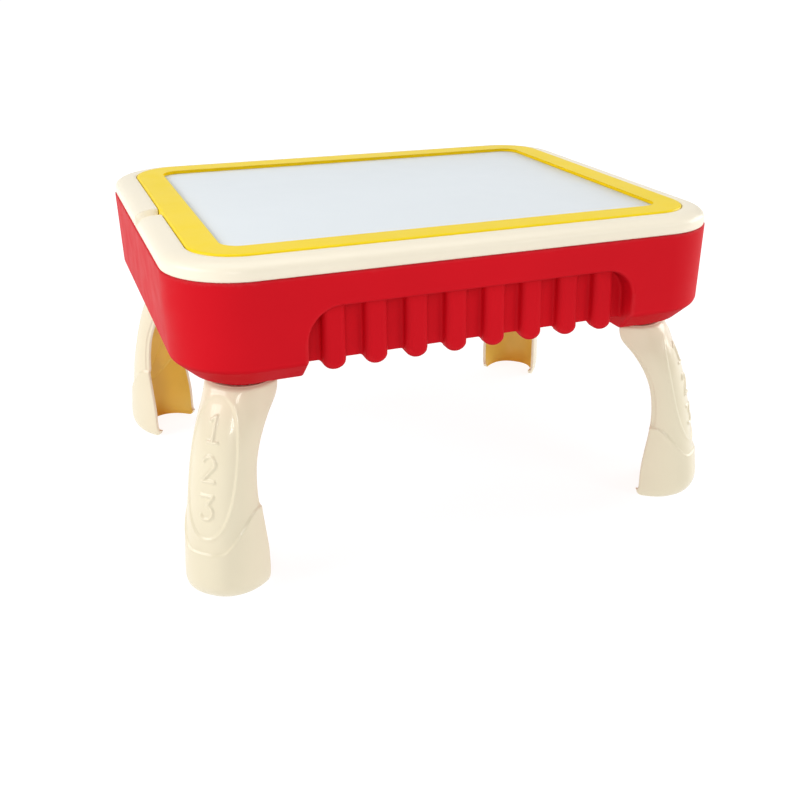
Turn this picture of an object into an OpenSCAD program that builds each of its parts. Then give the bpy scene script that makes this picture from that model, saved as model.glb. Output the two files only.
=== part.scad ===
// Child's building block table: a storage tub on four plug-in legs, a rim
// that carries a lift-out board, a wipe-clean face on the board's top and a
// stud plate for building blocks on its reverse.
// Millimetres. Origin on the floor under the table's centre. +X is along the
// table's length, +Y is to its rear and +Z is up.

/* [Table] */
// Length of the tub at its upper edge
table_l = 360; // [352:1:368]
// Width of the tub at its upper edge
table_w = 294; // [290:1:298]
// Corner radius of the tub in plan
corner_r = 46; // [44:1:48]
// Height of the tub's underside above the floor
under_z = 128.5; // [128:0.5:130]
// Depth of the tub from its underside to its upper edge
tub_depth = 65.5; // [64:0.5:67]
// Wall thickness of the tub
tub_wall = 2.6; // [2.2:0.1:3]
// Draft of the tub's wall over its whole depth
draft = 3.2; // [2:0.1:4]

/* [Grip recess] */
// Half width of the arched recess in each long side
recess_hw = 106.5; // [104:0.5:107]
// Height of the recess above the tub's underside
recess_h = 45.5; // [42:0.5:47]
// Distance of the recess wall from the table's centre line
recess_y = 131; // [130:0.5:132]
// Radius of the recess's upper corners
recess_r = 20; // [14:1:24]
// Number of upright ribs in each recess
rib_n = 8; // [6:1:8]
// Spacing of the ribs
rib_pitch = 25.5; // [24:0.1:26]
// Width of a rib
rib_w = 13; // [11:0.5:14]
// Distance of a rib's face from the table's centre line
rib_y = 138; // [137:0.1:139]
// Height of the raised middle of the underside, between the two ends
channel_h = 8.8; // [6:0.2:10]

/* [Rim and board] */
// How far the rim's outside is set in from the tub's edge
rim_in = 0.7; // [0.4:0.1:1]
// Width of the rim's visible top
rim_w = 16; // [15:0.5:17]
// Height of the board frame's top above the tub's edge
board_rise = 11.5; // [11.5:0.5:12]
// Visible width of the board frame
frame_w = 18.5; // [17.5:0.5:19.5]
// Depth of the wipe-clean face below the frame's top
face_drop = 2.5; // [2:0.1:3.5]
// Place of the finger notch's middle along the left rim
notch_y = -10; // [-30:1:30]
// Half length of the finger notch
notch_hl = 8; // [6:0.5:14]
// Depth of the finger notch
notch_d = 4.5; // [3:0.1:4.6]

/* [Block studs] */
// Spacing of the studs
stud_pitch = 16; // [15.9:0.1:16.1]
// Diameter of a stud
stud_d = 9.4; // [9.2:0.1:9.6]
// Height of a stud
stud_h = 4.5; // [4:0.1:5]
// Studs along the length
stud_nx = 18; // [12:2:18]
// Studs along the width
stud_ny = 14; // [8:2:14]

/* [Legs] */
// Wall thickness of a leg shell
leg_wall = 2.6; // [2.2:0.1:3]
// Sideways offset of the leg's centre plane from the diagonal
leg_t = 24.5; // [23.5:0.1:24.8]
// Length of a leg's tenon above the tub's underside
tenon_h = 21.5; // [16:0.5:24]
// Height of the collar under the tub that each leg's top meets
collar_h = 4.5; // [3:0.5:6]
// Tenon size across the diagonal
tenon_w = 26; // [22:0.5:28]
// Tenon size along the diagonal
tenon_d = 14; // [12:0.5:15]
// Gap between a tenon and its socket on each side
tenon_gap = 0.3; // [0.2:0.05:0.4]

/* [Hidden] */
$fn = 48;
hx = table_l / 2;
hy = table_w / 2;
edge_z = under_z + tub_depth;
top_z = edge_z + board_rise;
// Ledge that the board rests on
ledge_z = edge_z + 4.5;
// Board frame's outside and opening, as insets from the tub's edge
frame_in = rim_w;
open_in = rim_w + frame_w;
// Segments of a skinned corner
skin_n = 12;
// Clearance around the board in the rim
board_gap = 0.4;
// Rabbet that holds the wipe-clean sheet, and the sheet itself
rabbet_in = open_in - 3.5;
face_z = top_z - face_drop;
// Inner edge of the ledge
ledge_in = 22;
// Board screws: radii and places
screw_r = 1.1;
head_r = 2.2;
screw_in = (rabbet_in + ledge_in + 0.6) / 2;
screw_at = [for (sx = [-1, 1]) for (y = [-45, 45]) [sx * (hx - screw_in), y],
            for (sy = [-1, 1]) for (x = [-75, 75]) [x, sy * (hy - screw_in)]];
// Leg stations: height, distance of the open edge and of the toe from the
// table's centre measured along the diagonal, and half width
leg_top = under_z - collar_h - 0.1;
leg_rows = [[0, 182.6, 210.6, 22.6], [1.5, 183.8, 213.6, 23.3], [4, 184.6, 216.3, 23.8],
  [8, 185, 218.3, 24.1], [14, 185.2, 218.8, 24.2], [22, 185.6, 217.8, 24.1],
  [35, 187.3, 215.6, 23.5], [52, 189.6, 213, 22.1], [68, 189.5, 210.2, 21],
  [82, 186.9, 207.1, 20.5], [94, 181.5, 203.6, 20.6], [104, 174.4, 199.6, 20.9],
  [113, 166.3, 195, 21.2], [119, 164.5, 191.7, 21.4],
  [leg_top, 164.3, 188.8, 21.6]];
leg_n = 18;
leg_pow = 0.84;
// Centre of a leg's tenon along the diagonal
tenon_at = 173;

// Rounded rectangle, inset from the tub's upper edge
module outline(inset) {
  r = corner_r - inset;
  union() {
    square([2 * (hx - inset), 2 * (hy - inset - r)], center = true);
    square([2 * (hx - inset - r), 2 * (hy - inset)], center = true);
    for (sx = [-1, 1]) for (sy = [-1, 1])
      translate([sx * (hx - inset - r), sy * (hy - inset - r)]) circle(r);
  }
}

// Rounded rectangle with a corner radius of its own
module outline_r(inset, r) {
  union() {
    square([2 * (hx - inset), 2 * (hy - inset - r)], center = true);
    square([2 * (hx - inset - r), 2 * (hy - inset)], center = true);
    for (sx = [-1, 1]) for (sy = [-1, 1])
      translate([sx * (hx - inset - r), sy * (hy - inset - r)]) circle(r);
  }
}

// Plate between two heights
module slab(inset, z0, z1) { translate([0, 0, z0]) linear_extrude(z1 - z0) outline(inset); }
module slab_r(inset, r, z0, z1) { translate([0, 0, z0]) linear_extrude(z1 - z0) outline_r(inset, r); }

// Outline at an inset as a ring of points at height z, seen from above in order
// against the clock
function ring_at(inset, z) =
  let (r = corner_r - inset, cx = hx - corner_r, cy = hy - corner_r)
  [for (c = [[1, 1, 0], [-1, 1, 90], [-1, -1, 180], [1, -1, 270]]) for (k = [0:skin_n])
    let (a = c[2] + 90 * k / skin_n) [c[0] * cx + r * cos(a), c[1] * cy + r * sin(a), z]];

// Solid skinned over a list of [inset, height] levels, from the lowest up
module skin(levels) {
  n = 4 * (skin_n + 1);
  m = len(levels);
  sides = [for (i = [0:m - 2]) for (k = [0:n - 1]) let (j = (k + 1) % n)
           [i * n + k, (i + 1) * n + k, (i + 1) * n + j, i * n + j]];
  caps = [[for (k = [0:n - 1]) k], [for (k = [n - 1:-1:0]) (m - 1) * n + k]];
  polyhedron(points = [for (l = levels) each ring_at(l[0], l[1])], faces = concat(sides, caps), convexity = 4);
}

// Arched outline of the grip recess, grown by g
module arch(g) {
  w = recess_hw + g;
  r = recess_r + g;
  t = under_z + recess_h + g;
  union() {
    translate([-w, under_z - 20]) square([2 * w, t - r - under_z + 20]);
    translate([-w + r, under_z - 20]) square([2 * (w - r), t - under_z + 20]);
    for (s = [-1, 1]) translate([s * (w - r), t - r]) circle(r);
  }
}

// Prism of the arch from the recess wall out to beyond the front
module recess(g, y0, y1) { translate([0, y1, 0]) rotate([90, 0, 0]) linear_extrude(y1 - y0) arch(g); }

// Raised middle of the underside, right through from front to rear, grown by g
module channel(g) {
  w = recess_hw - 0.3 + g;
  translate([-w, -hy - 12, under_z - 15]) cube([2 * w, 2 * hy + 24, 15 + channel_h + g]);
}

// One rib, flat faced with chamfered edges, grown by g (negative for its hollow)
module rib(x, g, z0, z1, y_back) {
  w = rib_w / 2 + g;
  f = -rib_y - g;
  c = 2.4;
  translate([x, 0, z0]) linear_extrude(z1 - z0)
    polygon([[-w, -y_back], [-w, f + c], [-w + c, f], [w - c, f], [w, f + c], [w, -y_back]]);
}
rib_x = [for (i = [0:rib_n - 1]) (i - (rib_n - 1) / 2) * rib_pitch];

// Places a child made at the rear right corner at the corner of signs sx, sy
module at_corner(sx, sy) { mirror([sx < 0 ? 1 : 0, 0, 0]) mirror([0, sy < 0 ? 1 : 0, 0]) children(); }

// Block on a leg's axis: along the diagonal, across it, and from z0 to z1
module corner_block(d, w, z0, z1) {
  rotate([0, 0, 45]) translate([tenon_at - d / 2, -leg_t - w / 2, z0]) cube([d, w, z1 - z0]);
}

// Half round collar that hangs under the tub round a leg's socket
module collar() {
  rotate([0, 0, 45]) translate([165.2, -leg_t, under_z - collar_h]) intersection() {
    cylinder(r = 21.4, h = collar_h + 1);
    translate([-2, -25, -1]) cube([32, 50, collar_h + 3]);
  }
}

module storage_tub() {
  color([0.80, 0.10, 0.14])
  difference() {
    union() {
      difference() {
        skin([[draft + 13.5, under_z], [draft * 0.85, under_z + 13], [0, edge_z]]);
        difference() {
          skin([[tub_wall + draft + 13.8, under_z + tub_wall],
                [tub_wall + draft * 0.85 + 0.2, under_z + 14.4], [tub_wall, edge_z + 0.5]]);
          for (m = [0, 1]) mirror([0, m, 0])
            recess(tub_wall, -hy - 5, -recess_y + tub_wall);
          channel(tub_wall);
          for (sx = [-1, 1]) for (sy = [-1, 1]) at_corner(sx, sy)
            corner_block(tenon_d + 2 * tenon_gap + 5, tenon_w + 2 * tenon_gap + 5,
                         under_z + 1, under_z + tenon_h + 3.5);
        }
        for (m = [0, 1]) mirror([0, m, 0]) recess(0, -hy - 10, -recess_y);
        channel(0);
      }
      for (m = [0, 1]) mirror([0, m, 0]) for (x = rib_x)
        rib(x, 0, under_z + 3.5, under_z + recess_h + 1, recess_y - 1);
      for (sx = [-1, 1]) for (sy = [-1, 1]) at_corner(sx, sy) collar();
    }
    for (m = [0, 1]) mirror([0, m, 0]) for (x = rib_x)
      rib(x, -2.4, under_z + channel_h + tub_wall + 0.6, under_z + recess_h - 0.2, recess_y - 5);
    for (sx = [-1, 1]) for (sy = [-1, 1]) at_corner(sx, sy)
      corner_block(tenon_d + 2 * tenon_gap, tenon_w + 2 * tenon_gap,
                   under_z - collar_h - 1, under_z + tenon_h + 1);
  }
}

module rim_frame() {
  color([0.94, 0.91, 0.82])
  difference() {
    union() {
      skin([[rim_in, edge_z], [rim_in, edge_z + 4.5], [rim_in + 0.7, edge_z + 6.7],
            [rim_in + 2.4, edge_z + 8.2], [rim_in + 5.2, edge_z + 9.5],
            [rim_in + 8.7, edge_z + 10.3], [frame_in - 0.4, edge_z + 10.7]]);
      slab(tub_wall + 1, edge_z - 7, edge_z + 1);
    }
    slab(frame_in - board_gap, ledge_z, top_z + 5);
    slab(ledge_in, edge_z - 10, top_z + 5);
    difference() {
      slab(tub_wall + 3.2, edge_z - 9, ledge_z - 2.2);
      slab(ledge_in - 2.5, edge_z + 0.4, top_z);
    }
    difference() {
      slab(tub_wall + 3.6, ledge_z - 3, ledge_z - 0.3);
      slab(frame_in - board_gap - 2.4, ledge_z - 4, top_z);
    }
    translate([-hx - 5, notch_y - notch_hl, edge_z + 10.7 - notch_d])
      cube([frame_in + 5, 2 * notch_hl, 20]);
    translate([-hx - 5, notch_y - notch_hl + 0.2, edge_z + 1.6])
      cube([rim_in + 8.2, 2 * notch_hl - 0.4, 20]);
  }
}

module board_frame() {
  color([0.96, 0.85, 0.16])
  difference() {
    union() {
      slab(frame_in, ledge_z, top_z - 1.4);
      slab(frame_in + 0.5, ledge_z + 1, top_z - 0.5);
      slab(frame_in + 1.4, ledge_z + 1, top_z);
    }
    slab_r(open_in, 12, ledge_z - 5, top_z + 5);
    slab_r(rabbet_in, 12, ledge_z - 5, face_z + 0.05);
    for (p = screw_at) translate([p[0], p[1], ledge_z - 1]) cylinder(r = screw_r + 0.05, h = 6);
  }
}

module whiteboard_sheet() {
  color([0.91, 0.93, 0.95])
  slab_r(rabbet_in + 0.3, 12, ledge_z + 0.1, face_z);
}

module block_baseplate() {
  color([0.96, 0.85, 0.16])
  difference() {
    union() {
      slab(ledge_in + 0.6, ledge_z - 2.5, ledge_z);
      for (i = [0:stud_nx - 1]) for (j = [0:stud_ny - 1])
        translate([(i - (stud_nx - 1) / 2) * stud_pitch, (j - (stud_ny - 1) / 2) * stud_pitch,
                   ledge_z - 2.5 - stud_h])
          cylinder(d = stud_d, h = stud_h + 0.5, $fn = 24);
    }
    for (p = screw_at) translate([p[0], p[1], 0]) {
      translate([0, 0, ledge_z - 3]) cylinder(r = screw_r + 0.2, h = 4, $fn = 24);
      translate([0, 0, ledge_z - 3]) cylinder(r = head_r + 0.1, h = 1.7, $fn = 24);
    }
  }
}

module board_screws() {
  color([0.72, 0.73, 0.75])
  for (p = screw_at) translate([p[0], p[1], ledge_z - 2.5]) difference() {
    union() {
      cylinder(r = head_r, h = 1.2, $fn = 24);
      cylinder(r = screw_r, h = 7, $fn = 24);
    }
    for (a = [0, 90]) rotate([0, 0, a]) translate([-1.3, -0.3, -0.1]) cube([2.6, 0.6, 0.7]);
  }
}

// Station value of a leg at height z (k: 1 open edge, 2 toe, 3 half width)
function leg_at(z, k) = lookup(z, [for (r = leg_rows) [r[0], r[k]]]);
function spow(v) = sign(v) * pow(abs(v), leg_pow);
// Point of a leg's section: angle a from -90 to 90, inset g, at height z
function leg_pt(a, g, z) =
  let (i = leg_at(z, 1), o = leg_at(z, 2) - g, w = leg_at(z, 3) - g)
  [i + (o - i) * (abs(a) == 90 ? 0 : spow(cos(a))), -leg_t + w * spow(sin(a)), z];
function leg_angles() = [for (k = [0:leg_n]) -90 + 180 * k / leg_n];

// Shell of a leg: rings of its U section skinned from the foot to the hip
module leg_shell() {
  a = leg_angles();
  m = 2 * (leg_n + 1);
  nr = len(leg_rows);
  pts = [for (r = leg_rows) each concat([for (k = a) leg_pt(k, 0, r[0])],
                                        [for (k = [leg_n:-1:0]) leg_pt(a[k], leg_wall, r[0])])];
  sides = [for (r = [0:nr - 2]) for (k = [0:m - 1]) let (j = (k + 1) % m)
           each [[r * m + k, (r + 1) * m + k, (r + 1) * m + j], [r * m + k, (r + 1) * m + j, r * m + j]]];
  foot = [for (k = [0:leg_n - 1]) each [[k, k + 1, m - 2 - k], [k, m - 2 - k, m - 1 - k]]];
  b = (nr - 1) * m;
  hip = [for (k = [0:leg_n - 1]) each [[b + k, b + m - 2 - k, b + k + 1], [b + k, b + m - 1 - k, b + m - 2 - k]]];
  polyhedron(points = pts, faces = concat(sides, foot, hip), convexity = 6);
}

// Plate that closes a leg's hip under the tub
module leg_cap() {
  a = leg_angles();
  m = leg_n + 1;
  z = [leg_top - 5.4, leg_top];
  pts = [for (h = z) each [for (k = a) leg_pt(k, leg_wall / 2, h) + [abs(k) == 90 ? 0.4 : 0, 0, 0]]];
  sides = [for (k = [0:m - 1]) let (j = (k + 1) % m) each [[k, m + k, m + j], [k, m + j, j]]];
  lower = [for (k = [1:m - 2]) [0, k, k + 1]];
  upper = [for (k = [1:m - 2]) [m, m + k + 1, m + k]];
  polyhedron(points = pts, faces = concat(sides, lower, upper), convexity = 2);
}

module leg(sx, sy) {
  color([0.92, 0.87, 0.76])
  at_corner(sx, sy) difference() {
    union() {
      rotate([0, 0, 45]) leg_shell();
      rotate([0, 0, 45]) leg_cap();
      corner_block(tenon_d, tenon_w, leg_top - 3, under_z + tenon_h);
    }
    corner_block(tenon_d - 5, tenon_w - 5, leg_top - 10, under_z + tenon_h - 2.5);
  }
}

module leg_front_left() { leg(-1, -1); }
module leg_front_right() { leg(1, -1); }
module leg_rear_left() { leg(-1, 1); }
module leg_rear_right() { leg(1, 1); }

storage_tub();
rim_frame();
board_frame();
whiteboard_sheet();
block_baseplate();
board_screws();
leg_front_left();
leg_front_right();
leg_rear_left();
leg_rear_right();
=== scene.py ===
"""Looks of a child's building block table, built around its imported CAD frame.

Lengths are worked out in millimetres in the part's own frame and written to
Blender in metres. Nothing here is random.
"""
import math

import bmesh
import bpy
import numpy as np
from mathutils import Matrix, Vector


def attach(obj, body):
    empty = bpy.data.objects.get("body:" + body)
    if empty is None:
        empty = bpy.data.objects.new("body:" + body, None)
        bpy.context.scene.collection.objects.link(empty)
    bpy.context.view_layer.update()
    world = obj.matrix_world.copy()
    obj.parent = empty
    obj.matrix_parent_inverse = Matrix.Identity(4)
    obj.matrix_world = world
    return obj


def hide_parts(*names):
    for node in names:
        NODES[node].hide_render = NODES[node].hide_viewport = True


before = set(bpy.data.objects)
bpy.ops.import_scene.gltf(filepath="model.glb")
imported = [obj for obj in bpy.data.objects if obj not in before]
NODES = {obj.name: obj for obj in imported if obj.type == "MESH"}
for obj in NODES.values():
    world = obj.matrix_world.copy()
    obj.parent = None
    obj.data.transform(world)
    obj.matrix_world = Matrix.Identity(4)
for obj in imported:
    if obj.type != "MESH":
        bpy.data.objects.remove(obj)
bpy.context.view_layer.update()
MM = 0.001

# ----------------------------------------------------------------- dimensions
HX, HY, RC = 180.0, 147.0, 46.0          # tub at its upper edge, plan radius
UNDER, EDGE = 128.5, 194.0               # tub's underside and upper edge
WALL, DRAFT = 2.6, 3.2
TOP = EDGE + 11.5                        # top of the board's frame
LEDGE = EDGE + 4.5                       # where the board rests
FACE = TOP - 2.5                         # wipe-clean face
FRAME_IN, OPEN_IN, LEDGE_IN, RABBET_IN = 16.0, 34.5, 22.0, 31.0
REC_HW, REC_TOP, REC_Y, REC_R = 106.5, UNDER + 45.5, 131.0, 20.0
MID_Z = UNDER + 8.8                      # raised middle of the underside
RIB_N, RIB_P, RIB_HW, RIB_Y, RIB_Z = 8, 25.5, 7.0, 138.0, UNDER + 3.9
NOTCH_Y, NOTCH_HL, NOTCH_D = -10.0, 8.0, 3.8   # finger notch in the left rim
COLLAR = 4.5                             # height of the collars under the tub
LEG_T, LEG_TOP, LEG_WALL = 24.5, UNDER - COLLAR - 0.1, 2.6
TEN_D, TEN_W, TEN_AT, TEN_H = 14.0, 26.0, 173.0, 21.5
SCREW_IN = (RABBET_IN + LEDGE_IN + 0.6) / 2
SCREWS = [(sx * (HX - SCREW_IN), y) for sx in (-1, 1) for y in (-45, 45)] + \
         [(x, sy * (HY - SCREW_IN)) for sy in (-1, 1) for x in (-75, 75)]
R2 = math.sqrt(2.0)


# -------------------------------------------------------------------- helpers
def new_mesh_object(name, verts, faces, mats, smooth=True, slots=None):
    me = bpy.data.meshes.new(name)
    me.from_pydata((np.asarray(verts, float) * MM).tolist(), [], [tuple(int(i) for i in f) for f in faces])
    me.validate(clean_customdata=False)
    for m in mats:
        me.materials.append(m)
    if slots is not None:
        me.polygons.foreach_set("material_index", np.asarray(slots, np.int32))
    me.polygons.foreach_set("use_smooth", np.full(len(me.polygons), smooth))
    me.update()
    ob = bpy.data.objects.new(name, me)
    bpy.context.scene.collection.objects.link(ob)
    return ob


def fix_normals(ob):
    bm = bmesh.new()
    bm.from_mesh(ob.data)
    bmesh.ops.recalc_face_normals(bm, faces=bm.faces)
    bm.to_mesh(ob.data)
    bm.free()
    ob.data.update()


def sharp_by_angle(ob, degrees):
    """Marks edges sharper than the angle, so that flats stay flat and fillets stay smooth."""
    bm = bmesh.new()
    bm.from_mesh(ob.data)
    lim = math.radians(degrees)
    for e in bm.edges:
        if len(e.link_faces) == 2 and e.calc_face_angle(0.0) > lim:
            e.smooth = False
    bm.to_mesh(ob.data)
    bm.free()


def arc(c, r, a0, a1, n):
    return [(c[0] + r * math.cos(math.radians(a)), c[1] + r * math.sin(math.radians(a)))
            for a in np.linspace(a0, a1, n)]


def soft_step(d, half, soft):
    """1 where d is under half, 0 beyond it, with a smooth change between."""
    t = np.clip((half + soft - d) / (2 * soft), 0, 1)
    return t * t * (3 - 2 * t)


# Rounded rectangle ring, always with the same number of points, so that rings
# of different insets and radii join into one skin.
NC = 22
SIDE_X = np.linspace(-1, 1, 25)
SIDE_Y = np.unique(np.concatenate([np.linspace(-1, 1, 21), np.linspace(0.0, 0.2, 61)]).round(6))


def ring(inset, r):
    ax, ay = HX - inset, HY - inset
    cx, cy = ax - r, ay - r
    pts = []
    ang = np.radians(np.linspace(0, 90, NC + 1))
    # right side going up, upper right corner, rear side, and so on round
    pts += [(ax, t * cy) for t in SIDE_Y[:-1]]
    pts += [(cx + r * math.cos(a), cy + r * math.sin(a)) for a in ang[:-1]]
    pts += [(-t * cx, ay) for t in SIDE_X[:-1]]
    pts += [(-cx - r * math.sin(a), cy + r * math.cos(a)) for a in ang[:-1]]
    pts += [(-ax, -t * cy) for t in SIDE_Y[:-1]]
    pts += [(-cx - r * math.cos(a), -cy - r * math.sin(a)) for a in ang[:-1]]
    pts += [(t * cx, -ay) for t in SIDE_X[:-1]]
    pts += [(cx + r * math.sin(a), -cy - r * math.cos(a)) for a in ang[:-1]]
    return np.array(pts)


def sweep(profile, closed=True, caps=False):
    """Skin of rings: profile is a list of (inset, z, radius or None)."""
    rings = []
    for p in profile:
        r = p[2] if len(p) > 2 and p[2] is not None else RC - p[0]
        xy = ring(p[0], r)
        rings.append(np.c_[xy, np.full(len(xy), p[1])])
    n = len(rings[0])
    verts = np.concatenate(rings)
    faces = []
    m = len(rings)
    for i in range(m if closed else m - 1):
        a, b = i * n, ((i + 1) % m) * n
        for k in range(n):
            j = (k + 1) % n
            faces.append((a + k, a + j, b + j, b + k))
    if caps:
        faces.append(tuple(range(n))[::-1])
        faces.append(tuple((m - 1) * n + k for k in range(n)))
    return verts, faces


# ------------------------------------------------------------------ materials
def srgb(r, g, b):
    f = lambda v: v / 12.92 if v <= 0.04045 else ((v + 0.055) / 1.055) ** 2.4
    return (f(r / 255.0), f(g / 255.0), f(b / 255.0), 1.0)


def plastic(name, base, vary=0.04, rough=0.35, rough_vary=0.06, grain=900.0, grain_h=0.02,
            flow=14.0, coat=0.0, coat_rough=0.2, spec=0.5, edge=0.05, wave=0.01, under=1.0):
    """Moulded plastic: slow colour drift of the melt, roughness patches, fine mould grain and paler edges; with under
    below 1, painted shade on faces that look down.
    """
    m = bpy.data.materials.new(name)
    m.use_nodes = True
    nt = m.node_tree
    nd, ln = nt.nodes, nt.links
    bs = nd["Principled BSDF"]
    co = nd.new("ShaderNodeTexCoord")
    # slow drift
    drift = nd.new("ShaderNodeTexNoise")
    drift.inputs["Scale"].default_value = flow
    drift.inputs["Detail"].default_value = 3.0
    drift.inputs["Roughness"].default_value = 0.55
    ln.new(co.outputs["Object"], drift.inputs["Vector"])
    ramp = nd.new("ShaderNodeValToRGB")
    lo = tuple(max(0.0, c * (1 - vary)) for c in base[:3]) + (1.0,)
    hi = tuple(min(1.0, c * (1 + vary)) for c in base[:3]) + (1.0,)
    ramp.color_ramp.elements[0].position, ramp.color_ramp.elements[0].color = 0.34, lo
    ramp.color_ramp.elements[1].position, ramp.color_ramp.elements[1].color = 0.66, hi
    ln.new(drift.outputs["Fac"], ramp.inputs["Fac"])
    last = ramp.outputs["Color"]
    if edge > 0:
        geo = nd.new("ShaderNodeNewGeometry")
        er = nd.new("ShaderNodeValToRGB")
        er.color_ramp.elements[0].position, er.color_ramp.elements[0].color = 0.52, (0, 0, 0, 1)
        er.color_ramp.elements[1].position, er.color_ramp.elements[1].color = 0.62, (1, 1, 1, 1)
        ln.new(geo.outputs["Pointiness"], er.inputs["Fac"])
        sc = nd.new("ShaderNodeMath")
        sc.operation = "MULTIPLY"
        sc.inputs[1].default_value = edge
        ln.new(er.outputs["Color"], sc.inputs[0])
        mx = nd.new("ShaderNodeMix")
        mx.data_type = "RGBA"
        ln.new(sc.outputs[0], mx.inputs["Factor"])
        ln.new(last, mx.inputs["A"])
        mx.inputs["B"].default_value = tuple(min(1.0, 0.35 + 0.65 * c) for c in base[:3]) + (1.0,)
        last = mx.outputs["Result"]
    if under < 1:
        # painted shade: faces that look down are darkened, to the factor under at the steepest, and their specular is
        # cut, to hold back the floor's bounce light on them
        gn = nd.new("ShaderNodeNewGeometry")
        sx = nd.new("ShaderNodeSeparateXYZ")
        ln.new(gn.outputs["Normal"], sx.inputs[0])
        mr = nd.new("ShaderNodeMapRange")
        mr.inputs["From Min"].default_value, mr.inputs["From Max"].default_value = -0.62, -0.22
        mr.inputs["To Min"].default_value, mr.inputs["To Max"].default_value = under, 1.0
        ln.new(sx.outputs["Z"], mr.inputs["Value"])
        hs = nd.new("ShaderNodeHueSaturation")
        ln.new(mr.outputs["Result"], hs.inputs["Value"])
        sp = nd.new("ShaderNodeMapRange")
        sp.inputs["From Min"].default_value, sp.inputs["From Max"].default_value = -0.5, -0.1
        sp.inputs["To Min"].default_value, sp.inputs["To Max"].default_value = 0.02, spec
        ln.new(sx.outputs["Z"], sp.inputs["Value"])
        ln.new(sp.outputs["Result"], bs.inputs["Specular IOR Level"])
        ln.new(last, hs.inputs["Color"])
        last = hs.outputs["Color"]
    ln.new(last, bs.inputs["Base Color"])
    # roughness patches
    rn = nd.new("ShaderNodeTexNoise")
    rn.inputs["Scale"].default_value = 55.0
    rn.inputs["Detail"].default_value = 4.0
    ln.new(co.outputs["Object"], rn.inputs["Vector"])
    rr = nd.new("ShaderNodeMapRange")
    rr.inputs["From Min"].default_value, rr.inputs["From Max"].default_value = 0.3, 0.7
    rr.inputs["To Min"].default_value, rr.inputs["To Max"].default_value = rough - rough_vary, rough + rough_vary
    ln.new(rn.outputs["Fac"], rr.inputs["Value"])
    ln.new(rr.outputs["Result"], bs.inputs["Roughness"])
    # mould grain, with a slight slow waviness under it
    g1 = nd.new("ShaderNodeTexNoise")
    g1.inputs["Scale"].default_value = grain
    g1.inputs["Detail"].default_value = 2.0
    ln.new(co.outputs["Object"], g1.inputs["Vector"])
    b1 = nd.new("ShaderNodeBump")
    b1.inputs["Strength"].default_value = grain_h
    b1.inputs["Distance"].default_value = 0.0006
    ln.new(g1.outputs["Fac"], b1.inputs["Height"])
    g2 = nd.new("ShaderNodeTexNoise")
    g2.inputs["Scale"].default_value = 26.0
    g2.inputs["Detail"].default_value = 1.0
    ln.new(co.outputs["Object"], g2.inputs["Vector"])
    b2 = nd.new("ShaderNodeBump")
    b2.inputs["Strength"].default_value = wave
    b2.inputs["Distance"].default_value = 0.004
    ln.new(g2.outputs["Fac"], b2.inputs["Height"])
    ln.new(b1.outputs["Normal"], b2.inputs["Normal"])
    ln.new(b2.outputs["Normal"], bs.inputs["Normal"])
    if under == 1:
        bs.inputs["Specular IOR Level"].default_value = spec
    bs.inputs["IOR"].default_value = 1.5
    bs.inputs["Coat Weight"].default_value = coat
    bs.inputs["Coat Roughness"].default_value = coat_rough
    return m


# under=0.84 gives the red painted shade on faces that look down
RED = plastic("tub_red_plastic", srgb(199, 14, 28), vary=0.04, rough=0.5, rough_vary=0.05, grain=1100, grain_h=0.03, flow=9, spec=0.06, edge=0.08, wave=0.006, under=0.84)
CREAM = plastic("rim_cream_plastic", srgb(236, 227, 206), vary=0.014, rough=0.36, rough_vary=0.05, grain=1000, grain_h=0.012, flow=11, coat=0.10, spec=0.35, edge=0.0)
LEGC = plastic("leg_cream_plastic", srgb(225, 215, 188), vary=0.016, rough=0.36, rough_vary=0.05, grain=1000, grain_h=0.010, flow=16, coat=0.4, coat_rough=0.08, spec=0.3, edge=0.0, wave=0.006)
# inside of the hollow legs: the leg cream painted a deeper amber, standing in for the bounce light and the light
# through the thin shell
LEG_INSIDE_PAINTED_LIGHT = plastic("leg_inside_painted_light", srgb(229, 194, 92), vary=0.06, rough=0.38, rough_vary=0.06, grain=900, grain_h=0.012, flow=20, spec=0.3, edge=0.0)
YELLOW = plastic("frame_yellow_plastic", srgb(236, 207, 22), vary=0.025, rough=0.36, rough_vary=0.05, grain=1000, grain_h=0.012, flow=12, coat=0.04, coat_rough=0.12, spec=0.13, edge=0.05)
BOARD = plastic("board_white_gloss", srgb(219, 225, 229), vary=0.010, rough=0.36, rough_vary=0.04, grain=420, grain_h=0.006, flow=6, spec=0.3, edge=0.0, wave=0.0)
STEEL = plastic("screw_zinc", (0.60, 0.61, 0.63, 1), vary=0.06, rough=0.34, rough_vary=0.08, grain=2200, grain_h=0.06, flow=60, edge=0.0)
STEEL.node_tree.nodes["Principled BSDF"].inputs["Metallic"].default_value = 1.0


# ------------------------------------------------------------------ storage tub
def r_int(a, b, r):
    return np.minimum(-r, np.maximum(a, b)) + np.hypot(np.maximum(a + r, 0), np.maximum(b + r, 0))


def r_uni(a, b, r):
    return np.maximum(r, np.minimum(a, b)) - np.hypot(np.maximum(r - a, 0), np.maximum(r - b, 0))


def box2(a, b, ha, hb, r):
    qa, qb = np.abs(a) - (ha - r), np.abs(b) - (hb - r)
    return np.hypot(np.maximum(qa, 0), np.maximum(qb, 0)) + np.minimum(np.maximum(qa, qb), 0) - r


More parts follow.
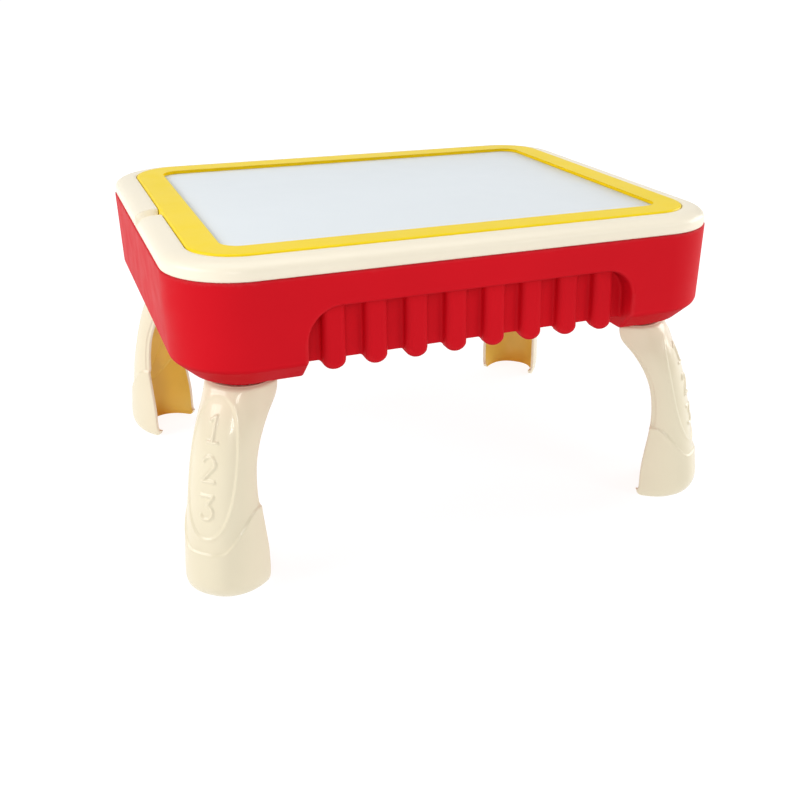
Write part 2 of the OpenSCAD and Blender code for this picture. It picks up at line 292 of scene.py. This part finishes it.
def tub_body(x, y, z):
    """Signed distance, near enough, of the tub's outside taken as a solid."""
    ax, ay = np.abs(x), np.abs(y)
    plan = box2(ax, ay, HX, HY, RC) + 0.85 * DRAFT * np.maximum(EDGE - z, 0) / (EDGE - UNDER - 9)
    # flat bevel round the lower edge, with a soft crease above it
    bevel = plan * 0.694 + (UNDER - z) * 0.72 + 9.37
    body = r_int(r_int(plan, bevel, 1.6), UNDER - z, 1.8)
    qx, qz = ax - (REC_HW - REC_R), z - (REC_TOP - REC_R)
    arch = np.hypot(np.maximum(qx, 0), np.maximum(qz, 0)) + np.minimum(np.maximum(qx, qz), 0) - REC_R
    mid = np.maximum(ax - REC_HW, z - MID_Z)
    body = r_int(body, -np.minimum(r_int(arch, REC_Y - ay, 1.6), mid), 2.0)
    k = np.clip(np.round(x / RIB_P - 0.5) + 0.5, -(RIB_N - 1) / 2, (RIB_N - 1) / 2)
    # each rib ends in a half round below
    rib = np.hypot(x - k * RIB_P, np.maximum(RIB_Z + 5.6 - z, 0) * RIB_HW / 5.6) - RIB_HW
    rib = r_int(rib, ay - RIB_Y, 3.6)
    rib = np.maximum(rib, np.maximum(z - (REC_TOP + 3), (REC_Y - 2) - ay))
    return r_uni(body, rib, 1.5)


def tub_field(x, y, z):
    """Signed distance, near enough, of the tub: negative in the plastic."""
    ax, ay = np.abs(x), np.abs(y)
    body = tub_body(x, y, z)
    shell = np.maximum(body, -(body + WALL))
    d, t = (ax + ay) / R2 - TEN_AT, (ax - ay) / R2 - LEG_T
    boss = r_int(box2(d, t, TEN_D / 2 + 2.8, TEN_W / 2 + 2.8, 2.0), np.maximum(z - (UNDER + TEN_H + 3.5), UNDER + 0.6 - z), 1.0)
    shell = r_uni(shell, boss, 1.4)
    # half round collar round each socket, where the leg's top ends
    e = d + TEN_AT - 165.2
    shell = r_uni(shell, r_int(r_int(np.hypot(e, t) - 21.4, -e - 2, 1.0), np.maximum(UNDER - COLLAR - z, z - UNDER - 1), 0.7), 0.8)
    hole = np.maximum(box2(d, t, TEN_D / 2 + 0.3, TEN_W / 2 + 0.3, 0.6), z - (UNDER + TEN_H + 1))
    shell = r_int(shell, -hole, 0.5)
    return r_int(shell, z - EDGE, 0.5)


def gradient(f, p, e=0.15):
    g = np.empty_like(p)
    for i in range(3):
        q = p.copy()
        q[:, i] += e
        hi = f(*q.T)
        q[:, i] -= 2 * e
        g[:, i] = (hi - f(*q.T)) / (2 * e)
    return g


def surface_nets(f, lo, hi, h):
    """Quads on the zero level of f on a grid of spacing h."""
    ax = [np.arange(lo[i], hi[i] + h, h) for i in range(3)]
    n = [len(a) for a in ax]
    val = np.empty(n, np.float32)
    X, Y = np.meshgrid(ax[0], ax[1], indexing="ij")
    for k in range(n[2]):
        val[:, :, k] = f(X, Y, np.full_like(X, ax[2][k]))
    val[val == 0] = 1e-6
    neg = val < 0
    c = [n[0] - 1, n[1] - 1, n[2] - 1]
    acc = np.zeros(c + [3], np.float32)
    cnt = np.zeros(c, np.int16)
    corner = [(i, j, k) for i in (0, 1) for j in (0, 1) for k in (0, 1)]
    cut = lambda o: (slice(o[0], o[0] + c[0]), slice(o[1], o[1] + c[1]), slice(o[2], o[2] + c[2]))
    for a in corner:
        for axis in range(3):
            if a[axis]:
                continue
            b = list(a)
            b[axis] = 1
            va, vb = val[cut(a)], val[cut(b)]
            cross = neg[cut(a)] != neg[cut(b)]
            t = np.where(cross, va / np.where(cross, va - vb, 1), 0)
            for i in range(3):
                acc[..., i] += np.where(cross, a[i] + (t if i == axis else 0), 0)
            cnt += cross
    live = cnt > 0
    index = np.full(c, -1, np.int64)
    index[live] = np.arange(live.sum())
    cell = np.argwhere(live)
    verts = (acc[live] / cnt[live][:, None] + cell) * h + np.array(lo)
    faces = []
    for axis in range(3):
        o = [0, 0, 0]
        o[axis] = 1
        s0 = [slice(0, n[i] - 1 if i == axis else n[i]) for i in range(3)]
        s1 = [slice(1, n[i]) if i == axis else slice(0, n[i]) for i in range(3)]
        edge = neg[tuple(s0)] != neg[tuple(s1)]
        i = np.argwhere(edge)
        u, v = [(1, 2), (2, 0), (0, 1)][axis]
        ok = (i[:, u] > 0) & (i[:, v] > 0) & (i[:, u] < n[u] - 1) & (i[:, v] < n[v] - 1)
        i = i[ok]
        flip = neg[tuple(i.T)]
        q = []
        for du, dv in ((0, 0), (1, 0), (1, 1), (0, 1)):
            p = i.copy()
            p[:, u] -= du
            p[:, v] -= dv
            q.append(index[tuple(p.T)])
        q = np.stack(q, 1)
        q[~flip] = q[~flip][:, ::-1]
        faces.append(q)
    return verts.astype(float), np.concatenate(faces)


def project(f, v, rounds=3, cap=0.7):
    for _ in range(rounds):
        d, g = f(*v.T), gradient(f, v)
        step = d / np.maximum((g * g).sum(1), 0.2)
        v = v - np.clip(step, -cap, cap)[:, None] * g
    return v


def build_tub():
    h = 1.3
    v, f = surface_nets(tub_field, (-HX - 2.11, -HY - 2.07, UNDER - COLLAR - 4.03), (HX + 2.2, HY + 2.2, EDGE + 2.2), h)
    v = project(tub_field, v)
    ob = new_mesh_object("storage_tub_shell", v, f, [RED])
    # thin out the flats, then take the shading from the field itself
    inner = np.nonzero(tub_body(*v.T) < -WALL / 2)[0]
    outer = np.setdiff1d(np.arange(len(v)), inner)
    vg = ob.vertex_groups.new(name="thin")
    vg.add(inner.tolist(), 1.0, "REPLACE")
    vg.add(outer.tolist(), 0.12, "REPLACE")
    dec = ob.modifiers.new("thin", "DECIMATE")
    dec.ratio = 0.30
    dec.vertex_group, dec.vertex_group_factor = "thin", 30.0
    dec.use_collapse_triangulate = True
    me = bpy.data.meshes.new_from_object(ob.evaluated_get(bpy.context.evaluated_depsgraph_get()))
    ob.modifiers.clear()
    ob.data = me
    co = np.empty(len(me.vertices) * 3)
    me.vertices.foreach_get("co", co)
    g = gradient(tub_field, co.reshape(-1, 3) / MM, 0.3)
    g /= np.maximum(np.linalg.norm(g, axis=1), 1e-6)[:, None]
    me.polygons.foreach_set("use_smooth", np.ones(len(me.polygons), bool))
    me.normals_split_custom_set_from_vertices(g.tolist())
    return ob


tub = build_tub()
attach(tub, "tub")
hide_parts("storage_tub")


# -------------------------------------------------------------------------- rim
def combine(base, other, op):
    mod = base.modifiers.new("b", "BOOLEAN")
    mod.object, mod.operation, mod.solver = other, op, "EXACT"
    me = bpy.data.meshes.new_from_object(base.evaluated_get(bpy.context.evaluated_depsgraph_get()))
    base.modifiers.clear()
    base.data = me
    bpy.data.objects.remove(other)


def block(lo, hi, bevel=0.0, segments=3):
    """Closed block between two corners, with rounded edges."""
    bm = bmesh.new()
    bmesh.ops.create_cube(bm, size=1.0)
    for v in bm.verts:
        v.co = Vector([(lo[i] + (v.co[i] + 0.5) * (hi[i] - lo[i])) * MM for i in range(3)])
    if bevel:
        bmesh.ops.bevel(bm, geom=list(bm.edges), offset=bevel * MM, segments=segments, profile=0.5, affect="EDGES")
    me = bpy.data.meshes.new("block")
    bm.to_mesh(me)
    bm.free()
    ob = bpy.data.objects.new("block", me)
    bpy.context.scene.collection.objects.link(ob)
    return ob


def build_rim():
    p = [(3.6, EDGE), (1.3, EDGE + 0.02), (0.9, EDGE + 0.2), (0.7, EDGE + 0.6), (0.7, EDGE + 2.2), (0.7, EDGE + 4.1)]
    # shoulder that rolls over to the board: flat band, soft crease, long curve
    n = 2.2
    for u in np.sin(np.radians(np.linspace(12, 90, 17))):
        p.append((0.7 + 14.2 * (1 - (1 - u ** n) ** (1 / n)), EDGE + 4.3 + 6.35 * u))
    p += [(15.3, EDGE + 10.5), (15.5, EDGE + 10.2), (15.6, EDGE + 9.6)]
    p += [(15.6, LEDGE + 0.4), (15.75, LEDGE + 0.1), (16.1, LEDGE), (21.5, LEDGE), (21.85, LEDGE - 0.15), (22, LEDGE - 0.5)]
    p += [(22, EDGE + 0.3), (21.7, EDGE), (19.8, EDGE), (19.5, EDGE + 0.3), (19.5, LEDGE - 2.2), (13.2, LEDGE - 2.2),
          (13.2, LEDGE - 0.3), (5.8, LEDGE - 0.3), (5.8, EDGE - 6.6), (5.5, EDGE - 7), (3.9, EDGE - 7), (3.6, EDGE - 6.6)]
    v, f = sweep(p)
    # finger notch: the shoulder is pressed in along its own profile for a short length of the left side
    q = np.array(p)
    v = v.reshape(len(p), -1, 3)
    for i in range(3, 26):
        t = q[i + 1] - q[i - 1] if i < 23 else np.array([1.0, 0.0])
        t = t / np.hypot(*t)
        depth = NOTCH_D * np.clip((q[i, 1] - EDGE - 0.3) / 2.4, 0.12, 1)
        press = soft_step(np.abs(v[i, :, 1] - NOTCH_Y), NOTCH_HL, 0.75) * (v[i, :, 0] < 0) * depth
        v[i, :, 0] += press * t[1]
        v[i, :, 2] -= press * t[0]
    ob = new_mesh_object("rim_shell", v.reshape(-1, 3), f, [CREAM])
    fix_normals(ob)
    sharp_by_angle(ob, 50)
    return ob


rim = build_rim()
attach(rim, "tub")
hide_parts("rim_frame")


# ------------------------------------------------------------------------ board
def build_frame():
    o, i = FRAME_IN, OPEN_IN
    p = [(o + 0.3, LEDGE), (o, LEDGE + 0.3), (o, LEDGE + 2.5)]
    p += [(o + 1.7 * (1 - math.cos(math.radians(a))), TOP - 1.7 + 1.7 * math.sin(math.radians(a))) for a in np.linspace(0, 90, 9)]
    p += [(o + 4.5, TOP, 24.6), (o + 9.5, TOP - 0.03, 19.6), (o + 14.0, TOP, 15.6)]
    p += [(i - 1.5 * math.cos(math.radians(a)), TOP - 1.5 + 1.5 * math.sin(math.radians(a)),
           12.0 + 1.5 * math.cos(math.radians(a))) for a in np.linspace(90, 0, 8)]
    p = [(a[0], a[1], a[2] if len(a) > 2 else RC - a[0]) for a in p]
    p += [(i, FACE + 0.35, 12.0), (i - 0.2, FACE + 0.05, 12.2), (RABBET_IN, FACE + 0.05, 12.0), (RABBET_IN, LEDGE, 12.0)]
    v, f = sweep(p)
    ob = new_mesh_object("board_frame_moulding", v, f, [YELLOW])
    fix_normals(ob)
    sharp_by_angle(ob, 40)
    return ob


def build_sheet():
    i = RABBET_IN + 0.3
    p = [(i + 0.3, LEDGE + 0.1, 11.7), (i, LEDGE + 0.4, 12.0), (i, FACE - 0.4, 12.0), (i + 0.15, FACE - 0.12, 11.85), (i + 0.5, FACE, 11.5)]
    v, f = sweep(p, closed=False, caps=True)
    ob = new_mesh_object("whiteboard_panel", v, f, [BOARD])
    fix_normals(ob)
    sharp_by_angle(ob, 50)
    return ob


def build_baseplate():
    i = LEDGE_IN + 0.6
    z0 = LEDGE - 2.5
    p = [(i + 0.5, z0), (i + 0.12, z0 + 0.15), (i, z0 + 0.5), (i, LEDGE - 0.4), (i + 0.3, LEDGE - 0.02)]
    v, f = sweep(p, closed=False, caps=True)
    plate = new_mesh_object("baseplate_blank", v, f, [YELLOW], smooth=False)
    # screw wells
    bm = bmesh.new()
    for x, y in SCREWS:
        m = Matrix.Translation((x * MM, y * MM, (z0 + 0.1) * MM))
        bmesh.ops.create_cone(bm, cap_ends=True, segments=28, radius1=2.3 * MM, radius2=2.3 * MM, depth=2.2 * MM, matrix=m)
        m = Matrix.Translation((x * MM, y * MM, (z0 + 1.5) * MM))
        bmesh.ops.create_cone(bm, cap_ends=True, segments=28, radius1=1.3 * MM, radius2=1.3 * MM, depth=6 * MM, matrix=m)
    me = bpy.data.meshes.new("wells")
    bm.to_mesh(me)
    bm.free()
    wells = bpy.data.objects.new("wells", me)
    bpy.context.scene.collection.objects.link(wells)
    mod = plate.modifiers.new("wells", "BOOLEAN")
    mod.object, mod.operation, mod.solver, mod.use_self = wells, "DIFFERENCE", "EXACT", True
    me2 = bpy.data.meshes.new_from_object(plate.evaluated_get(bpy.context.evaluated_depsgraph_get()))
    plate.modifiers.clear()
    bm = bmesh.new()
    bm.from_mesh(me2)
    bpy.data.objects.remove(wells)
    bpy.data.objects.remove(plate)
    # studs: turned profile with a rounded crown and a small fillet at the root
    prof = [(5.15, z0 + 0.15), (4.95, z0 - 0.05), (4.78, z0 - 0.3), (4.7, z0 - 0.7), (4.7, z0 - 3.6), (4.62, z0 - 4.05), (4.38, z0 - 4.36), (4.0, z0 - 4.5)]
    ns = 28
    for a in range(18):
        for b in range(14):
            cx, cy = (a - 8.5) * 16.0, (b - 6.5) * 16.0
            rings = [[bm.verts.new(((cx + r * math.cos(2 * math.pi * k / ns)) * MM, (cy + r * math.sin(2 * math.pi * k / ns)) * MM, z * MM)) for k in range(ns)] for r, z in prof]
            for r0, r1 in zip(rings, rings[1:]):
                for k in range(ns):
                    fc = bm.faces.new((r0[k], r0[(k + 1) % ns], r1[(k + 1) % ns], r1[k]))
                    fc.smooth = True
            bm.faces.new(rings[-1])
            bm.faces.new(rings[0][::-1])
    bmesh.ops.recalc_face_normals(bm, faces=bm.faces)
    me = bpy.data.meshes.new("block_baseplate_studs")
    bm.to_mesh(me)
    bm.free()
    me.materials.clear()
    me.materials.append(YELLOW)
    ob = bpy.data.objects.new("block_baseplate_studs", me)
    bpy.context.scene.collection.objects.link(ob)
    sharp_by_angle(ob, 50)
    return ob


board_frame = build_frame()
sheet = build_sheet()
baseplate = build_baseplate()
for ob, node, slot in ((board_frame, "board_frame", "frame_yellow"), (sheet, "whiteboard_sheet", "board_white"), (baseplate, "block_baseplate", "frame_yellow")):
    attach(ob, "board")
    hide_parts(node)
screws = NODES["board_screws"]
screws.data.materials.clear()
screws.data.materials.append(STEEL)


# ------------------------------------------------------------------------- legs
ROWS = np.array([[0, 182.6, 210.6, 22.6], [1.5, 183.8, 213.6, 23.3], [4, 184.6, 216.3, 23.8],
                 [8, 185, 218.3, 24.1], [14, 185.2, 218.8, 24.2], [22, 185.6, 217.8, 24.1],
                 [35, 187.3, 215.6, 23.5], [52, 189.6, 213, 22.1], [68, 189.5, 210.2, 21],
                 [82, 186.9, 207.1, 20.5], [94, 181.5, 203.6, 20.6], [104, 174.4, 199.6, 20.9],
                 [113, 166.3, 195, 21.2], [119, 164.5, 191.7, 21.4],
                 [LEG_TOP, 164.3, 188.8, 21.6]])


def hermite(z, xs, ys):
    """Smooth curve through the stations."""
    xs, ys = np.asarray(xs, float), np.asarray(ys, float)
    d = np.diff(ys) / np.diff(xs)
    h = np.diff(xs)
    m = np.empty_like(ys)
    m[1:-1] = (d[:-1] * h[1:] + d[1:] * h[:-1]) / (h[:-1] + h[1:])
    m[0], m[-1] = d[0], d[-1]
    i = np.clip(np.searchsorted(xs, z, side="right") - 1, 0, len(xs) - 2)
    t = (z - xs[i]) / h[i]
    return ((2 * t ** 3 - 3 * t ** 2 + 1) * ys[i] + (t ** 3 - 2 * t ** 2 + t) * h[i] * m[i]
            + (-2 * t ** 3 + 3 * t ** 2) * ys[i + 1] + (t ** 3 - t ** 2) * h[i] * m[i + 1])


def seg(u, w, a, b):
    """Distance in the plane from (u, w) to the stroke a-b."""
    a, b = np.array(a, float), np.array(b, float)
    ab = b - a
    t = np.clip(((u - a[0]) * ab[0] + (w - a[1]) * ab[1]) / (ab @ ab), 0, 1)
    return np.hypot(u - a[0] - t * ab[0], w - a[1] - t * ab[1])


def strokes(u, w, pts):
    return np.minimum.reduce([seg(u, w, p, q) for p, q in zip(pts, pts[1:])])


def numeral(u, w, n):
    """Distance to the centre line of a plain 1, 2 or 3, about 9 wide and 14 high between stroke centres."""
    if n == 1:
        return np.minimum(strokes(u, w, [(-2.6, 4.4), (0.6, 7), (0.6, -7)]), strokes(u, w, [(-2.6, -7), (3.8, -7)]))
    if n == 2:
        top = arc((0, 3.2), 3.9, 165, -35, 14)
        return strokes(u, w, top + [(-3.9, -7), (4.2, -7)])
    return np.minimum(strokes(u, w, [(-4.2, 7), (4.0, 7), (0.2, 1.6)]), strokes(u, w, arc((-0.2, -2.6), 4.3, 84, -150, 16)))


def relief(s, z, hand):
    """Height of the raised lines and numerals on a leg's outside: s along the surface from the toe line."""
    a = np.abs(s)
    e = s[:, -1:] - a                          # distance from the open edge
    # long oval
    q = ((a / 17.0) ** 2.15 + (np.abs(z - 79.3) / 40.0) ** 2.15) ** (1 / 2.15)
    k = np.hypot((a / 17.0) / 17.0, (np.abs(z - 79.3) / 40.0) / 40.0)
    oval = (q - 1) / np.maximum(k, 1 / 45.0)
    h_oval = 0.30 * np.exp(-((oval - 0.9) / 0.8) ** 2) - 0.65 * soft_step(oval, -0.3, 0.75)
    # boot line, low round the toe and higher at the sides
    t = np.clip((a - 9.0) / 24.0, 0, 1)
    line = 30.5 + 22.0 * t * t * (3 - 2 * t)
    slope = 22.0 * 6 * t * (1 - t) / 24.0
    boot = (z - line) / np.sqrt(1 + slope ** 2)
    h_boot = 1.15 * soft_step(boot, 0.0, 0.8) * np.exp(np.minimum(boot, 0) / 13.0)
    fade = np.clip((48 - a) / 8, 0, 1)
    # strip along the open edges, from the boot line up
    h_bead = -0.6 * soft_step(e, 2.6, 0.5) * np.clip((boot - 0.5) / 2, 0, 1) * np.clip((118 - z) / 8, 0, 1)
    num = np.full(s.shape, 99.0)
    for n, zc in ((1, 102.0), (2, 80.0), (3, 57.5)):
        num = np.minimum(num, numeral(hand * s, z - zc, n))
    h_num = 1.05 * soft_step(num, 0.85, 0.6)
    return h_oval + h_boot * fade + h_bead, h_num


def leg_grid(g, zs, nk):
    """Points of a leg's section at inset g: rings by height, columns by distance round the section."""
    di, do, w = (hermite(zs, ROWS[:, 0], ROWS[:, k]) for k in (1, 2, 3))
    # rounded shoulder where the leg meets its collar
    roll = 2.6 - np.sqrt(2.6 ** 2 - np.clip(zs - (LEG_TOP - 2.6), 0, 2.3) ** 2)
    do, w = do - roll, w - roll
    a = np.radians(np.linspace(-90, 90, 721))
    sp = lambda v: np.sign(v) * np.abs(v) ** 0.84
    ca, sa = sp(np.maximum(np.cos(a), 0)), sp(np.sin(a))
    ca[0] = ca[-1] = 0
    D, T, S = (np.empty((len(zs), nk)) for _ in range(3))
    for i in range(len(zs)):
        d = di[i] + (do[i] - g - di[i]) * ca
        t = (w[i] - g) * sa
        s = np.concatenate([[0], np.cumsum(np.hypot(np.diff(d), np.diff(t)))])
        u = np.linspace(0, s[-1], nk)
        D[i], T[i] = np.interp(u, s, d), np.interp(u, s, t)
        S[i] = u - s[-1] / 2
    return D, T, S


def grid_normals(P):
    du, dv = np.gradient(P, axis=1), np.gradient(P, axis=0)
    n = np.cross(du, dv)
    n /= np.maximum(np.linalg.norm(n, axis=2), 1e-9)[..., None]
    return n


def corner_box(d, w, z0, z1, bevel=0.0):
    """Closed block on the leg's axis, in the leg's own (along, across, up) frame."""
    return block((TEN_AT - d / 2, LEG_T - w / 2, z0), (TEN_AT + d / 2, LEG_T + w / 2, z1), bevel)


def leg_hip():
    """Plate that closes a leg's top, with its hollow tenon, in (along, across, up)."""
    z = np.array([LEG_TOP - 5.4, LEG_TOP - 0.15])
    D, T, _ = leg_grid(1.3, z, 41)
    D[:, 0] += 0.3
    D[:, -1] += 0.3
    n = D.shape[1]
    v = np.concatenate([np.c_[D[i], T[i] + LEG_T, np.full(n, z[i])] for i in (0, 1)])
    f = [(k, (k + 1) % n, n + (k + 1) % n, n + k) for k in range(n)] + [tuple(range(n))[::-1], tuple(range(n, 2 * n))]
    ob = new_mesh_object("hip", v, f, [], smooth=False)
    fix_normals(ob)
    combine(ob, corner_box(TEN_D, TEN_W, LEG_TOP - 3, UNDER + TEN_H, 0.7), "UNION")
    combine(ob, corner_box(TEN_D - 5, TEN_W - 5, LEG_TOP - 10, UNDER + TEN_H - 2.5), "DIFFERENCE")
    co = np.empty(len(ob.data.vertices) * 3)
    ob.data.vertices.foreach_get("co", co)
    faces = [tuple(p.vertices) for p in ob.data.polygons]
    bpy.data.objects.remove(ob)
    return co.reshape(-1, 3) / MM, faces


HIP_V, HIP_F = leg_hip()
STEP = 0.55
ZS = np.unique(np.concatenate([[0, 0.4, 0.9, 1.5, 2.2, 3, 4, 5.2, 6.6, 8.2, 10, 12, 14.2, 16.6, 19], np.arange(21, LEG_TOP - 2.4, STEP), LEG_TOP - np.array([2.2, 1.6, 1.1, 0.7, 0.4, 0.2, 0.08, 0.0])]))
NK = 151


def build_leg(name, sx, sy):
    hand = -1.0 if sx * sy > 0 else 1.0
    Do, To, So = leg_grid(0.0, ZS, NK)
    Di, Ti, Si = leg_grid(LEG_WALL, ZS, NK)
    Z = np.broadcast_to(ZS[:, None], Do.shape)
    Po, Pi = np.stack([Do, To, Z], 2), np.stack([Di, Ti, Z], 2)
    no, ni = grid_normals(Po), grid_normals(Pi)
    mid = NK // 2
    if no[len(ZS) // 2, mid, 0] < 0:
        no, ni = -no, -ni
    line, num = relief(So, Z, hand)
    tall = np.clip(np.minimum(Z - 1.0, LEG_TOP - 3 - Z) / 6.0, 0, 1)
    Po = Po + no * ((line + num) * tall)[..., None]
    lin_i, _ = relief(Si * 1.06, Z, hand)
    Pi = Pi + ni * (lin_i * 0.9 * tall)[..., None]
    # the open edges end in rounded corners at the foot
    for P, S in ((Po, So), (Pi, Si)):
        e = np.clip(4.0 - (S[:, -1:] - np.abs(S)), 0, 4.0)
        up = 4.0 - np.sqrt(np.maximum(16.0 - e * e, 0))
        P[..., 2] += up * np.clip(1 - Z / 10.0, 0, 1) ** 2
    # rounded free edges: three columns bulge a little from the outside to the inside
    def lip(a, b):
        cols = []
        for q in (0.22, 0.5, 0.78):
            c = a * (1 - q) + b * q
            c = c.copy()
            c[:, 0] -= 0.85 * math.sin(math.pi * q)
            cols.append(c)
        return cols
    r_lip = lip(Po[:, -1], Pi[:, -1])
    l_lip = lip(Pi[:, 0], Po[:, 0])
    loop = [Po[:, k] for k in range(NK)] + r_lip + [Pi[:, k] for k in range(NK - 1, -1, -1)] + l_lip
    L = np.stack(loop, 1)                      # rings by columns, closed round
    nr, nc = L.shape[:2]
    verts = L.reshape(-1, 3).copy()
    faces, slots = [], []
    for i in range(nr - 1):
        for k in range(nc):
            j = (k + 1) % nc
            faces.append((i * nc + k, i * nc + j, (i + 1) * nc + j, (i + 1) * nc + k))
            slots.append(1 if NK + 2 <= k < 2 * NK + 2 else 0)
    for row in (0, nr - 1):                    # foot edge and hip edge
        b = row * nc
        for k in range(NK - 1):
            faces.append((b + k, b + k + 1, b + 2 * NK + 1 - k, b + 2 * NK + 2 - k))
            slots.append(0)
        faces.append((b + NK - 1, b + NK, b + NK + 1, b + NK + 2, b + NK + 3))
        slots.append(0)
        faces.append((b + 2 * NK + 2, b + 2 * NK + 3, b + 2 * NK + 4, b + 2 * NK + 5, b + 0))
        slots.append(0)
    verts[:, 1] += LEG_T
    n0 = len(verts)
    verts = np.concatenate([verts, HIP_V])
    for fc in HIP_F:
        faces.append(tuple(n0 + i for i in fc))
        zc = HIP_V[list(fc), 2].mean()
        slots.append(1 if zc < LEG_TOP - 5 else 0)
    d, t, z = verts.T
    P = np.c_[sx * (d + t) / R2, sy * (d - t) / R2, z]
    # slot 1, the hollow's inside, takes the painted amber
    ob = new_mesh_object(name, P, faces, [LEGC, LEG_INSIDE_PAINTED_LIGHT], slots=slots)
    fix_normals(ob)
    sharp_by_angle(ob, 55)
    return ob


for tag, sx, sy in (("front_left", -1, -1), ("front_right", 1, -1), ("rear_left", -1, 1), ("rear_right", 1, 1)):
    leg = build_leg("leg_" + tag + "_shell", sx, sy)
    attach(leg, "leg_" + tag + "_body")
    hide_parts("leg_" + tag)


# ------------------------------------------------------------------------ stage
def build_floor():
    me = bpy.data.meshes.new("floor")
    s = 60.0
    me.from_pydata([(-s, -s, -0.0004), (s, -s, -0.0004), (s, s, -0.0004), (-s, s, -0.0004)], [], [(0, 1, 2, 3)])
    ob = bpy.data.objects.new("floor", me)
    bpy.context.scene.collection.objects.link(ob)
    m = bpy.data.materials.new("floor_paper")
    m.use_nodes = True
    nd, ln = m.node_tree.nodes, m.node_tree.links
    out = nd["Material Output"]
    nd.remove(nd["Principled BSDF"])
    # The floor glows in place of white paper under the lamps. Its glow is 0.88 within 0.35 m of the table's centre and
    # rises to full beyond 1.3 m, which weakens the bounce light from the floor onto the table.
    df = nd.new("ShaderNodeBsdfDiffuse")
    df.inputs["Color"].default_value = (0.22, 0.22, 0.22, 1)
    em = nd.new("ShaderNodeEmission")
    em.inputs["Color"].default_value = (1, 1, 1, 1)
    tc = nd.new("ShaderNodeTexCoord")
    ln_ = nd.new("ShaderNodeVectorMath")
    ln_.operation = "LENGTH"
    ln.new(tc.outputs["Object"], ln_.inputs[0])
    mr = nd.new("ShaderNodeMapRange")
    mr.inputs["From Min"].default_value, mr.inputs["From Max"].default_value = 0.35, 1.3
    mr.inputs["To Min"].default_value, mr.inputs["To Max"].default_value = 0.88, 1.0
    ln.new(ln_.outputs["Value"], mr.inputs["Value"])
    ln.new(mr.outputs["Result"], em.inputs["Strength"])
    ad = nd.new("ShaderNodeAddShader")
    ln.new(df.outputs[0], ad.inputs[0])
    ln.new(em.outputs[0], ad.inputs[1])
    ln.new(ad.outputs[0], out.inputs["Surface"])
    me.materials.append(m)
    return ob


build_floor()


def area(name, loc, target, size, power, colour=(1, 1, 1)):
    li = bpy.data.lights.new(name, "AREA")
    li.shape, li.size, li.size_y = "RECTANGLE", size[0], size[1]
    li.energy = power
    li.color = colour
    ob = bpy.data.objects.new(name, li)
    ob.location = loc
    ob.rotation_euler = (Vector(target) - Vector(loc)).to_track_quat("-Z", "Y").to_euler()
    bpy.context.scene.collection.objects.link(ob)
    return ob


area("key", (1.1, -1.7, 1.2), (0, 0, 0.13), (0.8, 0.8), 9)
area("front", (-0.8, -1.8, 0.85), (0, 0, 0.14), (0.40, 0.40), 7)
area("left", (-1.7, 0.0, 1.15), (0, 0, 0.15), (1.2, 1.0), 24)
area("right", (1.9, 0.0, 0.70), (0, 0, 0.15), (1.2, 0.9), 19)
area("top", (0.1, 0.35, 1.7), (0, 0, 0.15), (1.6, 1.2), 9)
area("back", (0.5, 3.2, 1.1), (0, 0, 0.2), (5.0, 2.0), 12)

world = bpy.data.worlds.new("studio")
world.use_nodes = True
world.node_tree.nodes["Background"].inputs["Color"].default_value = (1.0, 1.0, 1.0, 1)
world.node_tree.nodes["Background"].inputs["Strength"].default_value = 0.30
bpy.context.scene.world = world
vs = bpy.context.scene.view_settings
vs.view_transform = "Standard"
vs.look = "None"
vs.exposure = 0.0
vs.gamma = 1.0


# ----------------------------------------------------------------------- camera
def build_camera():
    yaw, pitch, roll = (math.radians(v) for v in (24.4828, 16.8704, -0.7718))
    fwd = Vector((math.sin(yaw) * math.cos(pitch), math.cos(yaw) * math.cos(pitch), -math.sin(pitch)))
    right = Vector((math.cos(yaw), -math.sin(yaw), 0))
    down = fwd.cross(right)
    right2 = right * math.cos(roll) + down * math.sin(roll)
    down2 = fwd.cross(right2)
    cam = bpy.data.cameras.new("photo_view")
    cam.sensor_fit = "HORIZONTAL"
    cam.sensor_width = 36.0
    cam.lens = 1045.80 * 36.0 / 800.0
    cam.shift_x, cam.shift_y = (400.0 - 470.74) / 800.0, (270.38 - 400.0) / 800.0
    cam.clip_start, cam.clip_end = 0.01, 120.0
    ob = bpy.data.objects.new("photo_view", cam)
    up, back = -down2, -fwd
    ob.matrix_world = Matrix(((right2.x, up.x, back.x, -0.25202), (right2.y, up.y, back.y, -0.68107),
                              (right2.z, up.z, back.z, 0.36442), (0, 0, 0, 1)))
    bpy.context.scene.collection.objects.link(ob)
    bpy.context.scene.camera = ob


build_camera()
